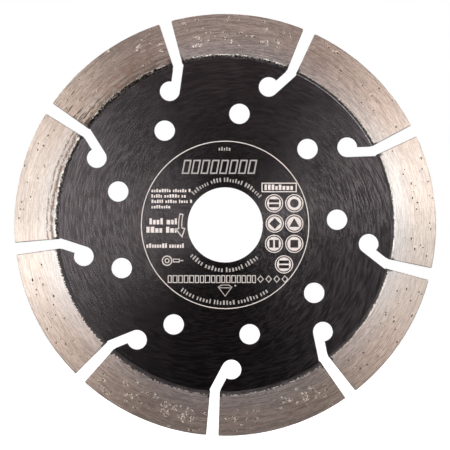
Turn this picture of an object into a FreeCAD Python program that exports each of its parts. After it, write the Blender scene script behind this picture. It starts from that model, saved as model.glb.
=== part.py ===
import FreeCAD, Part
import math
import os
import Sketcher

# Segmented diamond blade, laser welded: one steel core, and on its rim nine
# segments, each a diamond layer sintered onto a diamond-free foot, each foot
# held to the core by its own weld seam.
# The blade stands upright like a wheel. It spins about the Y axis, its marked
# face looks along -Y, and the origin is the centre of the bore at mid thickness.

os.makedirs("parts", exist_ok=True)
doc = FreeCAD.newDocument("diamond_blade")

# Millimetres and degrees.
DIMENSIONS = [
    ("blade_diameter", 125.0),
    ("segment_thickness", 2.2),
    ("segment_count", 9),
    ("gap_angle", 3.25),         # angle left open between two neighbouring segments
    ("rim_corner_radius", 0.4),  # outer corners of a segment, seen from the side
    ("foot_outer_radius", 52.6),
    ("weld_outer_radius", 50.25),
    ("weld_shoulder", 0.95),     # half height of the seam where it meets the foot
    ("weld_crown_radius", 0.62),
    ("core_diameter", 98.9),
    ("core_thickness", 1.4),
    ("bore_diameter", 22.23),
    ("bore_chamfer", 0.1),
    ("cooling_hole_diameter", 6.0),
    ("cooling_hole_circle", 66.4),
    ("cooling_hole_lead", 16.16),  # angle from a slot mouth on to the next hole
    ("slot_phase", 26.5),          # angle of the first slot mouth above +X
    ("mouth_width", 3.15),
    ("slot_width", 2.8),
    ("slot_lean", 24.5),           # lean of the slot away from the radius
    ("keyhole_radius", 2.9),
    ("keyhole_along", 42.66),      # keyhole centre, measured along the mouth's radius
    ("keyhole_aside", 4.47),       # and square to it
]
sheet = doc.addObject("Spreadsheet::Sheet", "Dims")
for row, (alias, value) in enumerate(DIMENSIONS, start=1):
    sheet.set("A%d" % row, alias)
    sheet.set("B%d" % row, str(value))
    sheet.setAlias("B%d" % row, alias)
doc.recompute()

SEGMENTS = int(sheet.segment_count)
VIEW_AXIS = FreeCAD.Vector(0, -1, 0)  # turning about it is anticlockwise from the marked side


def new_body(name):
    body = doc.addObject("PartDesign::Body", name)
    body.Label = name
    return body


def origin_item(body, role):
    return next(item for item in body.Origin.OriginFeatures if item.Role == role)


def new_sketch(body, name, plane):
    sketch = body.newObject("Sketcher::SketchObject", name)
    sketch.AttachmentSupport = [(origin_item(body, plane), "")]
    sketch.MapMode = "FlatFace"
    return sketch


def limit(sketch, name, expression, *constraint):
    """Add a driving dimension and tie it to the spreadsheet."""
    index = sketch.addConstraint(Sketcher.Constraint(*constraint))
    sketch.renameConstraint(index, name)
    sketch.setExpression("Constraints." + name, expression)


def turn(body, angle):
    """Stand the body at an angle about the blade's axis, tied to the spreadsheet."""
    body.Placement = FreeCAD.Placement(FreeCAD.Vector(), FreeCAD.Rotation(VIEW_AXIS, 1))
    body.setExpression("Placement.Rotation.Angle", angle)


def cut_check(feature, before):
    doc.recompute()
    if not feature.Shape.Volume < before - 0.01:
        raise RuntimeError(feature.Name + " removed nothing")


def vec(x, y):
    return FreeCAD.Vector(x, y, 0)


def make_core():
    body = new_body("core")

    outline = new_sketch(body, "core_outline", "XZ_Plane")
    for name, alias, radius in (
        ("outer", "core_diameter", sheet.core_diameter / 2),
        ("bore", "bore_diameter", sheet.bore_diameter / 2),
    ):
        circle = outline.addGeometry(Part.Circle(vec(0, 0), FreeCAD.Vector(0, 0, 1), radius))
        outline.addConstraint(Sketcher.Constraint("Coincident", circle, 3, -1, 1))
        limit(outline, name, "Dims." + alias, "Diameter", circle, radius * 2)
    disc = body.newObject("PartDesign::Pad", "core_disc")
    disc.Profile = outline
    disc.Midplane = True
    disc.setExpression("Length", "Dims.core_thickness")
    doc.recompute()
    solid = disc.Shape.Volume

    slot_sketch = new_sketch(body, "slot_outline", "XZ_Plane")
    draw_slot(slot_sketch)
    slot = body.newObject("PartDesign::Pocket", "slot")
    slot.Profile = slot_sketch
    slot.Midplane = True
    slot.setExpression("Length", "Dims.core_thickness * 2")
    cut_check(slot, solid)
    slotted = slot.Shape.Volume

    hole_sketch = new_sketch(body, "hole_outline", "XZ_Plane")
    draw_hole(hole_sketch)
    hole = body.newObject("PartDesign::Pocket", "cooling_hole")
    hole.Profile = hole_sketch
    hole.Midplane = True
    hole.setExpression("Length", "Dims.core_thickness * 2")
    cut_check(hole, slotted)
    drilled = hole.Shape.Volume

    ring = body.newObject("PartDesign::PolarPattern", "slots_and_holes")
    ring.Originals = [slot, hole]
    ring.Axis = (origin_item(body, "Y_Axis"), [""])
    ring.Angle = 360
    body.Tip = ring
    ring.setExpression("Occurrences", "Dims.segment_count")
    cut_check(ring, drilled)
    patterned = ring.Shape.Volume

    deburr = body.newObject("PartDesign::Chamfer", "bore_deburr")
    bore_radius = sheet.bore_diameter / 2
    rims = [
        "Edge%d" % number
        for number, edge in enumerate(ring.Shape.Edges, start=1)
        if isinstance(edge.Curve, Part.Circle) and abs(edge.Curve.Radius - bore_radius) < 1e-6
    ]
    deburr.Base = (ring, rims)
    deburr.setExpression("Size", "Dims.bore_chamfer")
    cut_check(deburr, patterned)

    turn(body, "Dims.slot_phase")
    return body


def draw_slot(sketch):
    """Radial mouth, leaning slot and the round keyhole it runs into, mouth on +X."""
    lean = math.radians(sheet.slot_lean)
    half = sheet.mouth_width / 2
    out = sheet.core_diameter / 2 + 1
    radius = sheet.keyhole_radius
    inward = vec(-math.cos(lean), math.sin(lean))
    across = vec(math.sin(lean), math.cos(lean))
    centre = vec(sheet.keyhole_along, sheet.keyhole_aside)
    touch = centre - across * radius
    offset = radius - sheet.slot_width
    corner = centre - inward * math.sqrt(radius**2 - offset**2) - across * offset
    low_bend = touch - inward * ((touch.y + half) / inward.y)
    high_bend = corner - inward * ((corner.y - half) / inward.y)
    low_mouth, high_mouth = vec(out, -half), vec(out, half)

    start = math.atan2(corner.y - centre.y, corner.x - centre.x)
    end = math.atan2(touch.y - centre.y, touch.x - centre.x)
    rim = Part.Circle(centre, FreeCAD.Vector(0, 0, 1), radius)
    sketch.addGeometry([
        Part.LineSegment(low_mouth, low_bend),
        Part.LineSegment(low_bend, touch),
        Part.ArcOfCircle(rim, start, end + 2 * math.pi),
        Part.LineSegment(corner, high_bend),
        Part.LineSegment(high_bend, high_mouth),
        Part.LineSegment(high_mouth, low_mouth),
    ], False)
    for constraint in (
        ("Coincident", 0, 2, 1, 1),
        ("Tangent", 1, 2, 2, 2),
        ("Coincident", 2, 1, 3, 1),
        ("Coincident", 3, 2, 4, 1),
        ("Coincident", 4, 2, 5, 1),
        ("Coincident", 5, 2, 0, 1),
        ("Horizontal", 0),
        ("Horizontal", 4),
        ("Parallel", 1, 3),
        ("Symmetric", 5, 1, 5, 2, -1),
    ):
        sketch.addConstraint(Sketcher.Constraint(*constraint))
    limit(sketch, "mouth", "Dims.mouth_width", "DistanceY", 0, 1, 4, 2, half * 2)
    limit(sketch, "overrun", "Dims.core_diameter / 2 + 1", "DistanceX", -1, 1, 0, 1, out)
    limit(sketch, "width", "Dims.slot_width", "Distance", 2, 1, 1, sheet.slot_width)
    limit(sketch, "lean", "180 - Dims.slot_lean", "Angle", -1, 1, 1, 1, math.pi - lean)
    limit(sketch, "keyhole", "Dims.keyhole_radius", "Radius", 2, radius)
    limit(sketch, "along", "Dims.keyhole_along", "DistanceX", -1, 1, 2, 3, centre.x)
    limit(sketch, "aside", "Dims.keyhole_aside", "DistanceY", -1, 1, 2, 3, centre.y)


def draw_hole(sketch):
    """One cooling hole, on the radius that leads away from the slot mouth."""
    lead = math.radians(sheet.cooling_hole_lead)
    reach = sheet.cooling_hole_circle / 2
    centre = vec(reach * math.cos(lead), reach * math.sin(lead))
    sketch.addGeometry(Part.Circle(centre, FreeCAD.Vector(0, 0, 1), sheet.cooling_hole_diameter / 2))
    sketch.addGeometry(Part.LineSegment(vec(0, 0), centre), True)
    sketch.addConstraint(Sketcher.Constraint("Coincident", 1, 1, -1, 1))
    sketch.addConstraint(Sketcher.Constraint("Coincident", 1, 2, 0, 3))
    limit(sketch, "hole", "Dims.cooling_hole_diameter", "Diameter", 0, sheet.cooling_hole_diameter)
    limit(sketch, "reach", "Dims.cooling_hole_circle / 2", "Distance", 1, reach)
    limit(sketch, "lead", "Dims.cooling_hole_lead", "Angle", -1, 1, 1, 1, lead)


def draw_block(sketch, inner, outer):
    """Rectangular cross-section between two radii, full segment thickness."""
    low, high = inner[1], outer[1]
    half = sheet.segment_thickness / 2
    corners = [vec(low, -half), vec(high, -half), vec(high, half), vec(low, half)]
    for index in range(4):
        sketch.addGeometry(Part.LineSegment(corners[index], corners[(index + 1) % 4]), False)
    for index in range(4):
        sketch.addConstraint(Sketcher.Constraint("Coincident", index, 2, (index + 1) % 4, 1))
    sketch.addConstraint(Sketcher.Constraint("Horizontal", 0))
    for index in (1, 3):
        sketch.addConstraint(Sketcher.Constraint("Symmetric", index, 1, index, 2, -1))
    limit(sketch, "inner", inner[0], "DistanceX", -1, 1, 3, 2, low)
    limit(sketch, "outer", outer[0], "DistanceX", -1, 1, 1, 1, high)
    limit(sketch, "thickness", "Dims.segment_thickness", "DistanceY", 1, 1, 1, 2, half * 2)


def draw_seam(sketch):
    """Weld cross-section: as thick as the core inside, crowned up to the foot outside."""
    low, high = sheet.core_diameter / 2, sheet.weld_outer_radius
    toe, shoulder = sheet.core_thickness / 2, sheet.weld_shoulder
    radius = sheet.weld_crown_radius
    chord = vec(high - low, shoulder - toe)
    middle = vec((low + high) / 2, (toe + shoulder) / 2)
    square = vec(chord.y, -chord.x) * (1 / chord.Length)
    centre = middle + square * math.sqrt(radius**2 - chord.Length**2 / 4)
    mirror = vec(centre.x, -centre.y)
    up = FreeCAD.Vector(0, 0, 1)
    at_toe = math.atan2(toe - centre.y, low - centre.x)
    at_shoulder = math.atan2(shoulder - centre.y, high - centre.x)
    sketch.addGeometry([
        Part.LineSegment(vec(low, toe), vec(low, -toe)),
        Part.ArcOfCircle(Part.Circle(mirror, up, radius), -at_toe, -at_shoulder),
        Part.LineSegment(vec(high, -shoulder), vec(high, shoulder)),
        Part.ArcOfCircle(Part.Circle(centre, up, radius), at_shoulder, at_toe),
    ], False)
    for constraint in (
        ("Coincident", 0, 2, 1, 1),
        ("Coincident", 1, 2, 2, 1),
        ("Coincident", 2, 2, 3, 1),
        ("Coincident", 3, 2, 0, 1),
        ("Symmetric", 0, 1, 0, 2, -1),
        ("Symmetric", 2, 1, 2, 2, -1),
        ("Equal", 1, 3),
    ):
        sketch.addConstraint(Sketcher.Constraint(*constraint))
    limit(sketch, "inner", "Dims.core_diameter / 2", "DistanceX", -1, 1, 0, 1, low)
    limit(sketch, "outer", "Dims.weld_outer_radius", "DistanceX", -1, 1, 2, 1, high)
    limit(sketch, "toe", "Dims.core_thickness", "DistanceY", 0, 2, 0, 1, toe * 2)
    limit(sketch, "shoulder", "Dims.weld_shoulder * 2", "DistanceY", 2, 1, 2, 2, shoulder * 2)
    limit(sketch, "crown", "Dims.weld_crown_radius", "Radius", 3, radius)


def make_sector(name, number, draw):
    """Sweep a cross-section round the blade's axis over one segment's share of the rim."""
    body = new_body("%s_%d" % (name, number))
    section = new_sketch(body, body.Name + "_section", "XY_Plane")
    draw(section)
    sweep = body.newObject("PartDesign::Revolution", body.Name + "_sweep")
    sweep.Profile = section
    sweep.ReferenceAxis = (section, ["V_Axis"])
    sweep.Midplane = True
    sweep.setExpression("Angle", "360 / Dims.segment_count - Dims.gap_angle")
    turn(body, "Dims.slot_phase + (%d - 0.5) * 360 / Dims.segment_count" % number)
    doc.recompute()
    return body


def draw_foot(sketch):
    draw_block(
        sketch,
        ("Dims.weld_outer_radius", sheet.weld_outer_radius),
        ("Dims.foot_outer_radius", sheet.foot_outer_radius),
    )


def draw_diamond_layer(sketch):
    draw_block(
        sketch,
        ("Dims.foot_outer_radius", sheet.foot_outer_radius),
        ("Dims.blade_diameter / 2", sheet.blade_diameter / 2),
    )


def round_rim_corners(body):
    """Round the two outer corners a segment shows at the gaps either side of it."""
    sweep = body.Tip
    rim = sheet.blade_diameter / 2
    corners = []
    for number, edge in enumerate(sweep.Shape.Edges, start=1):
        ends = [vertex.Point for vertex in edge.Vertexes]
        on_rim = all(abs(math.hypot(end.x, end.z) - rim) < 1e-6 for end in ends)
        if on_rim and isinstance(edge.Curve, Part.Line):
            corners.append("Edge%d" % number)
    if len(corners) != 2:
        raise RuntimeError("expected two rim corners on " + body.Name)
    before = sweep.Shape.Volume
    fillet = body.newObject("PartDesign::Fillet", body.Name + "_corners")
    fillet.Base = (sweep, corners)
    fillet.setExpression("Radius", "Dims.rim_corner_radius")
    cut_check(fillet, before)


bodies = [make_core()]
for number in range(1, SEGMENTS + 1):
    segment = make_sector("segment", number, draw_diamond_layer)
    round_rim_corners(segment)
    bodies.append(segment)
    bodies.append(make_sector("segment_foot", number, draw_foot))
    bodies.append(make_sector("weld_seam", number, draw_seam))
doc.recompute()

for item in doc.Objects:
    if {"Invalid", "Error"} & set(item.State):
        raise RuntimeError("%s did not compute: %s" % (item.Name, item.State))
for body in bodies:
    if body.Shape.isNull() or not body.Shape.isValid() or len(body.Shape.Solids) != 1:
        raise RuntimeError(body.Label + " is not one valid solid")
    body.Shape.exportStep(os.path.join("parts", body.Label + ".step"))
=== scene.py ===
"""Looks for the segmented diamond blade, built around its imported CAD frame."""

import itertools
import math

import bpy
import numpy as np
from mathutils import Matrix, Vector


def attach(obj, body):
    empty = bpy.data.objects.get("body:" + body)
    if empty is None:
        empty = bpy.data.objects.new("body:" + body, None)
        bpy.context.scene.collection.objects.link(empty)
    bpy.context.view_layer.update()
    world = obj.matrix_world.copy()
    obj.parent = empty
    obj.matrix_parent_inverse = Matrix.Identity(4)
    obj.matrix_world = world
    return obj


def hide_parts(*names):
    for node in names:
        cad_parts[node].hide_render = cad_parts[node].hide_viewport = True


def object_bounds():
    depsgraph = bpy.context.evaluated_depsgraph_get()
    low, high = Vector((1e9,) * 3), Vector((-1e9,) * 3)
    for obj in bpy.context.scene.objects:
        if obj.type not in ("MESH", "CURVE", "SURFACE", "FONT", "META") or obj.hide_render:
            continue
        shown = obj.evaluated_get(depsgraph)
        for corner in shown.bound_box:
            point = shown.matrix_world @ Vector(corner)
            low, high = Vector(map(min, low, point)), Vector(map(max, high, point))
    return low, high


MM = 0.001
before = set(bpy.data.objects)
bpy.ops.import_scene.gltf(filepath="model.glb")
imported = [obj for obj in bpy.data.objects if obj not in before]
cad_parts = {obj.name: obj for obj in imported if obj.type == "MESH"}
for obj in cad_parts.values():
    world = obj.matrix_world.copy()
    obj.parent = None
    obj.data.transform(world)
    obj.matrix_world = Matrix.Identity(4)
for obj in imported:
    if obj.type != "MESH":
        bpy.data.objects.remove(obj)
cad_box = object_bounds()
scene = bpy.context.scene

# -------- blade dimensions, in mm
FULL_TURN = 2 * math.pi
SEGMENTS = 9
PITCH = FULL_TURN / SEGMENTS
SLOT_PHASE = math.radians(26.5)  # where the first slot meets the rim, anticlockwise from +X
HALF_SWEEP = math.radians((360 / SEGMENTS - 3.25) / 2)
RIM_R = 62.5
FOOT_R = 52.6
WELD_R = 50.25
CORE_R = 49.45
CORE_HALF = 0.7
CORE_EDGE = 0.09  # rounding of the core's stamped edges
LACQUER_END = 50.05  # where the lacquer stops when none is left on a foot
LACQUER_TILT = 0.10  # lean of the strokes in the lacquer, in radians
SEGMENT_HALF = 1.1
SEGMENT_CORNER = 0.4  # rounding of a segment's two outer corners, seen from the side
FACE_HALF = 1.055  # ground face of a segment; grit stands proud of it
BORE_R = 11.115
VENT_R = 3.0
VENT_CIRCLE = 33.2
VENT_LEAD = math.radians(16.16)  # from a slot's mouth to the vent that follows it
MOUTH_HALF = 1.575  # half the width of a slot where it meets the rim
SLOT_WIDTH = 2.8
SLOT_LEAN = math.radians(24.5)
KEYHOLE = (42.66, 4.47)  # centre of a slot's round end, when its mouth lies on +X
KEYHOLE_R = 2.9
RING_R = 24.8

# Segment 1 alone has this heat tint, by which the weld's material knows where to paint a thin highlight line
# along the toe of the bead.
TOE_HIGHLIGHT_HEAT = 0.20
# How each segment's weld came out: lacquer left on the foot, molten bead, heat tint, rust.
CHARACTER = {
    1: (0.20, 0.30, TOE_HIGHLIGHT_HEAT, 0.0),
    2: (0.35, 0.70, 0.10, 0.0),
    3: (0.40, 1.00, 0.90, 1.0),
    4: (0.35, 0.90, 1.00, 0.1),
    5: (0.90, 0.15, 0.10, 0.0),
    6: (0.95, 0.10, 0.05, 0.0),
    7: (0.75, 0.25, 0.05, 0.0),
    8: (0.25, 0.20, 0.10, 0.0),
    9: (0.15, 0.20, 0.05, 0.0),
}


# -------- smooth seeded noise
class Noise:
    """Smooth value noise on a seeded lattice, for displacing vertices."""

    def __init__(self, seed, size=64):
        self.size = size
        self.table = np.random.default_rng(seed).uniform(-1, 1, (size, size))

    def __call__(self, x, y):
        x, y = np.broadcast_arrays(np.asarray(x, float), np.asarray(y, float))
        ix, iy = np.floor(x).astype(int), np.floor(y).astype(int)
        fx, fy = x - ix, y - iy
        fx, fy = fx * fx * (3 - 2 * fx), fy * fy * (3 - 2 * fy)
        next_x, next_y = (ix + 1) % self.size, (iy + 1) % self.size
        ix, iy = ix % self.size, iy % self.size
        a, b = self.table[ix, iy], self.table[next_x, iy]
        c, d = self.table[ix, next_y], self.table[next_x, next_y]
        return (a * (1 - fx) + b * fx) * (1 - fy) + (c * (1 - fx) + d * fx) * fy


# -------- mesh helpers
def add_object(name, data):
    obj = bpy.data.objects.new(name, data)
    scene.collection.objects.link(obj)
    return obj


def mesh_object(name, mesh, materials, smooth_angle=35):
    """Object of a mesh; faces meeting at more than smooth_angle stay crisp."""
    mesh.materials.clear()
    for material in materials:
        mesh.materials.append(material)
    mesh.polygons.foreach_set("use_smooth", [True] * len(mesh.polygons))
    mesh.set_sharp_from_angle(angle=math.radians(smooth_angle))
    return add_object(name, mesh)


def polar(r, a, y):
    """Points on the blade: radius, angle anticlockwise from +X seen from the front, depth."""
    return np.stack([r * np.cos(a), y, r * np.sin(a)], axis=-1)


def stops(low, high, step, low_edge, high_edge):
    """Positions from low to high, closer together over each rounded edge."""
    ease = np.array([0, 0.08, 0.3, 0.62])
    inner_low, inner_high = low + low_edge, high - high_edge
    count = max(2, int(round((inner_high - inner_low) / step)))
    first = low + ease * low_edge if low_edge else []
    last = high - ease[::-1] * high_edge if high_edge else []
    return np.concatenate([first, np.linspace(inner_low, inner_high, count + 1), last])


def skin_faces(n_a, n_r):
    """Faces of a front and a back grid of n_a by n_r points, which look away from each other."""
    faces = []
    back = n_a * n_r
    for i, j in itertools.product(range(n_a - 1), range(n_r - 1)):
        a, d = i * n_r + j, i * n_r + j + 1
        b, c = a + n_r, d + n_r
        faces.append((a, b, c, d))
        faces.append((d + back, c + back, b + back, a + back))
    return faces


def border(n_a, n_r):
    """Places round the edge of an n_a by n_r grid."""
    places = [(i, 0) for i in range(n_a)] + [(n_a - 1, j) for j in range(1, n_r)]
    return places + [(i, n_r - 1) for i in range(n_a - 2, -1, -1)] + [(0, j) for j in range(n_r - 2, 0, -1)]


def wall_faces(upper, lower):
    """Faces between two closed rings of points."""
    pairs = zip(upper, lower, upper[1:] + upper[:1], lower[1:] + lower[:1])
    return [(c, a, b, d) for a, b, c, d in pairs]


class Shell:
    """Collects vertices and faces of one piece."""

    def __init__(self):
        self.verts, self.faces, self.slots, self.count = [], [], [], 0

    def add(self, verts, faces, dark=0):
        """Add faces; the first dark ones take the piece's second material."""
        verts = np.asarray(verts).reshape(-1, 3)
        self.verts.append(verts)
        self.faces += [tuple(i + self.count for i in face) for face in faces]
        self.slots += [1] * dark + [0] * (len(faces) - dark)
        self.count += len(verts)

    def object(self, name, *materials, smooth_angle=35):
        """The piece, held inside the blade's thickness and diameter."""
        verts = np.concatenate(self.verts)
        verts[:, 1] = np.clip(verts[:, 1], -SEGMENT_HALF, SEGMENT_HALF)
        reach = np.hypot(verts[:, 0], verts[:, 2])
        verts[:, [0, 2]] *= np.minimum(1, (RIM_R - 0.001) / reach)[:, None]
        mesh = bpy.data.meshes.new(name)
        mesh.from_pydata((verts * MM).tolist(), [], self.faces)
        obj = mesh_object(name, mesh, materials, smooth_angle)
        mesh.polygons.foreach_set("material_index", self.slots)
        return obj


ARRIS = 0.13  # rounding of the long edges round a block's faces
WALL_ROWS = 5


def round_corners(to_end, to_rim, depth, corner):
    """Squeeze the two outer corners of a block's grid onto an arc."""
    dx, dy = corner - to_end, corner - to_rim
    zone = (dx > 0) & (dy > 0)
    most = np.maximum(dx, dy)
    scale = np.where(zone, most / np.maximum(np.hypot(dx, dy), 1e-9), 1)
    to_end = np.where(zone, corner - dx * scale, to_end)
    to_rim = np.where(zone, corner - dy * scale, to_rim)
    return to_end, to_rim, np.where(zone, corner - most, depth)


def arris_drop(radius, depth):
    """How far an arris of this radius has dropped off the face, at this distance from the edge."""
    return radius - np.sqrt(np.maximum(radius**2 - np.maximum(radius - depth, 0) ** 2, 0))


def sector_block(shell, centre, inner, outer, half, noise, step=0.4, corner=0.0, inner_edge=0.0,
                 wave=0.006, wall_wave=0.03, open_rim=True):
    """A closed block between two radii, its edges rounded and its skin slightly uneven.

    corner rounds the two outer corners seen from the side, inner_edge the arris on the inner
    radius. wave and wall_wave are the unevenness of the faces and of the walls.
    open_rim is False where the outer radius meets another block flush.
    """
    mid = (inner + outer) / 2
    turn = max(ARRIS, corner) / mid
    angles = stops(-HALF_SWEEP, HALF_SWEEP, step / mid, turn, turn)
    radii = stops(inner, outer, step, inner_edge, max(ARRIS, corner))
    grid_a, grid_r = np.meshgrid(angles, radii, indexing="ij")
    to_end = (HALF_SWEEP - np.abs(grid_a)) * grid_r
    to_rim = outer - grid_r
    depth = np.minimum(to_end, to_rim) if open_rim else to_end
    if corner:
        to_end, to_rim, depth = round_corners(to_end, to_rim, depth, corner)
        grid_r = outer - to_rim
        grid_a = np.sign(grid_a) * (HALF_SWEEP - to_end / grid_r)
    drop = arris_drop(ARRIS, depth)
    if inner_edge:
        sag = arris_drop(inner_edge, grid_r - inner)
        drop = np.maximum(drop, sag * (0.75 + 0.5 * noise(grid_a * mid * 2.2, 7.0)))
    theta = grid_a + centre
    arc = theta * mid
    n_a, n_r = grid_a.shape

    # Dents pull in the rim and both ends, and nicks the rim of a block with rounded corners.
    on_rim, at_end = np.zeros((n_a, n_r)), np.zeros((n_a, n_r))
    on_rim[:, -1] = 1
    at_end[0, 1:], at_end[-1, 1:] = -1, 1
    rough = wall_wave * (0.5 + 0.5 * noise(arc * 1.7 + 3, grid_r * 1.7))
    rough_a = wall_wave * (0.5 + 0.5 * noise(grid_r * 1.7, arc * 0.7 + 11))
    nicks = np.maximum(noise(arc * 0.8 + 21, 9.0) - 0.72, 0) * 1.1 * (corner > 0)
    face_r = grid_r - (rough + nicks) * on_rim
    face_t = theta - rough_a * at_end / grid_r

    grids = []
    for side in (-1, 1):
        swell = wave * (noise(arc * 0.5 + side, grid_r * 0.5) + 0.5 * noise(arc * 1.3, grid_r * 1.3 + side))
        y = side * (half - drop - np.where(depth > ARRIS, np.maximum(swell + wave, 0), 0))
        grids.append(polar(face_r, face_t, y))
    front, back = grids
    verts = [front.reshape(-1, 3), back.reshape(-1, 3)]
    faces = skin_faces(n_a, n_r)

    # The wall round the block: rings of points from the front face's border to the back's.
    edge = tuple(np.array(border(n_a, n_r)).T)
    size = len(edge[0])
    rings = [(edge[0] * n_r + edge[1]).tolist()]
    for row in range(1, WALL_ROWS):
        t = row / WALL_ROWS
        line = front[edge] * (1 - t) + back[edge] * t
        spin = np.arctan2(line[:, 2], line[:, 0])
        dent = wall_wave * (0.5 + 0.5 * noise(spin * mid * 2.1, line[:, 1] * 2.5 + 5)) * on_rim[edge]
        verts.append(polar(np.hypot(line[:, 0], line[:, 2]) - dent, spin, line[:, 1]))
        first = 2 * n_a * n_r + (row - 1) * size
        rings.append(list(range(first, first + size)))
    rings.append([n_a * n_r + index for index in rings[0]])
    for upper, lower in zip(rings, rings[1:]):
        faces += wall_faces(upper, lower)
    shell.add(np.concatenate(verts), faces)


# Rings of a socket from its floor outwards: radius, height, and how far the tail draws it out.
SOCKET_RINGS = ((0.5, 0.05, 0.15), (0.82, 0.3, 0.3), (1.0, 1.0, 0.5), (1.5, -0.9, 1.0))
SOCKET_SIDES = 14


def socket(shell, place, size, height, tail, heading, rand, shaded=True):
    """A worn socket round a diamond: uneven rim round a dish, drawn out into a tail of metal."""
    spin = SOCKET_SIDES
    turn = np.arange(spin) * FULL_TURN / spin
    lean = np.clip(np.cos(turn - heading), 0, 1)
    phases = rand.uniform(0, FULL_TURN, 3)
    size = size * (1 + 0.24 * np.sin(2 * turn + phases[0]) + 0.14 * np.sin(3 * turn + phases[1]))
    height = height * (0.3 + 0.7 * np.clip(0.5 + 0.8 * np.cos(turn - phases[2]), 0, 1))
    points = [place(0.0, 0.0, 0.0)]
    for reach, level, drawn in SOCKET_RINGS:
        radius = size * (reach + drawn * tail * lean**5)
        for r, t, rise in zip(radius, turn, level * height):
            points.append(place(r * math.cos(t), r * math.sin(t), rise))
    faces = [(0, 1 + k, 1 + (k + 1) % spin) for k in range(spin)]
    for ring in range(len(SOCKET_RINGS) - 1):
        for k in range(spin):
            a, b = 1 + ring * spin + k, 1 + ring * spin + (k + 1) % spin
            faces.append((a, a + spin, b + spin, b))
    # With shaded set, the dish takes the second material: dirt and painted shade.
    shell.add(points, faces, dark=2 * spin if shaded else 0)


# Corners and faces of a cuboctahedron: eight three-sided faces, then six square ones.
CRYSTAL_POINTS = np.array([
    (-1, -1, 0), (-1, 1, 0), (1, -1, 0), (1, 1, 0), (-1, 0, -1), (-1, 0, 1),
    (1, 0, -1), (1, 0, 1), (0, -1, -1), (0, -1, 1), (0, 1, -1), (0, 1, 1),
], float)
CRYSTAL_FACES = (
    (8, 0, 4), (5, 0, 9), (4, 1, 10), (11, 1, 5), (6, 2, 8), (9, 2, 7), (10, 3, 6), (7, 3, 11),
    (4, 0, 5, 1), (7, 2, 6, 3), (9, 0, 8, 2), (10, 1, 11, 3), (8, 4, 10, 6), (11, 5, 9, 7),
)


def crystal(shell, centre, size, rand):
    """A blocky synthetic diamond: a cuboctahedron with uneven faces, turned at random."""
    points = CRYSTAL_POINTS * 0.72 * (1 + rand.uniform(-0.16, 0.16, (12, 1)))
    axis = rand.normal(size=3)
    axis /= np.linalg.norm(axis)
    angle = rand.uniform(0, math.pi)
    k = np.array([[0, -axis[2], axis[1]], [axis[2], 0, -axis[0]], [-axis[1], axis[0], 0]])
    spin = np.eye(3) + math.sin(angle) * k + (1 - math.cos(angle)) * (k @ k)
    shell.add(points @ spin.T * size + centre, CRYSTAL_FACES)


def blob(shell, centre, radius, flat, side):
    """A small frozen droplet: a squashed eight-by-four ball."""
    points, faces = [], []
    axis = Vector((0, side, 0))
    u = axis.orthogonal().normalized()
    v = axis.cross(u)
    for ring in range(1, 4):
        lift, wide = math.cos(ring * math.pi / 4), math.sin(ring * math.pi / 4)
        for k in range(8):
            t = k * math.pi / 4
            p = u * (wide * math.cos(t)) + v * (wide * math.sin(t)) + axis * (lift * flat)
            points.append(centre + np.array(p) * radius)
    top, bottom = len(points), len(points) + 1
    pole = np.array(axis) * flat * radius
    points += [centre + pole, centre - pole]
    for k in range(8):
        n = (k + 1) % 8
        faces += [(top, k, n), (k, 8 + k, 8 + n, n)]
        faces += [(8 + k, 16 + k, 16 + n, 8 + n), (bottom, 16 + n, 16 + k)]
    shell.add(points, faces)


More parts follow.
